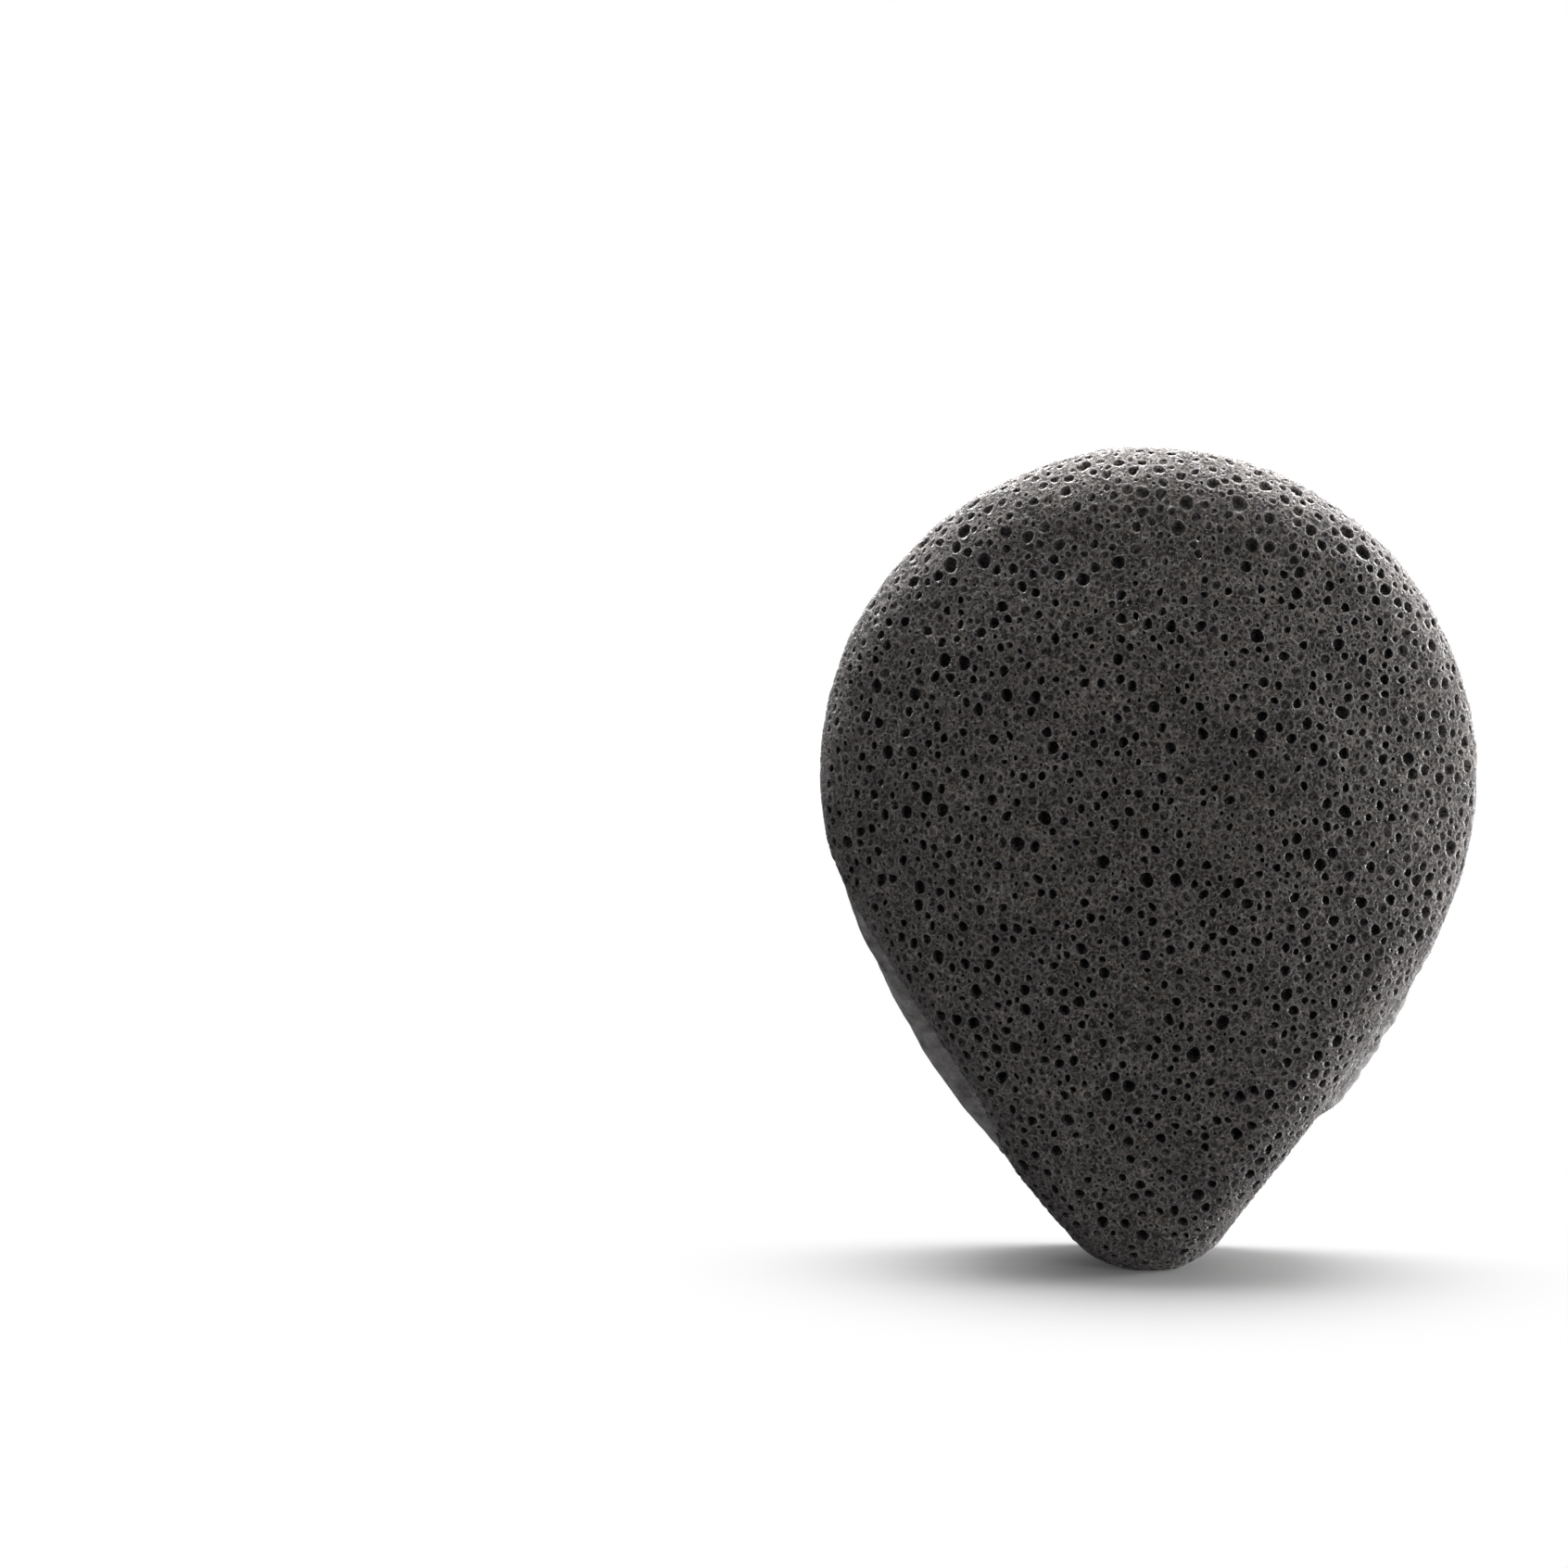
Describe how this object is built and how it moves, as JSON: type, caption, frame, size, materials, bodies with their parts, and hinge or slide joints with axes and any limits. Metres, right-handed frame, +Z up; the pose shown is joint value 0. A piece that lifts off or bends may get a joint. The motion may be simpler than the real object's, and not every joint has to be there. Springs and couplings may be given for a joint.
{
  "type": "konjac sponge",
  "caption": "Teardrop facial cleansing sponge of open-cell konjac foam, with a domed front, rolled edges, a soft lip along its flanks and a flat back",
  "frame": {"origin": "on the floor under the middle of the sponge, where its flattened tip stands", "axes": "+X across the sponge, to the right as its domed front is looked at; +Y from the domed front to the flat back; +Z up, from the tip to the round end"},
  "size_m": [0.076, 0.032, 0.0951],
  "materials": {
    "konjac_foam": "matte"
  },
  "bodies": {
    "root": {"sponge_body": "konjac_foam"}
  },
  "joints": []
}
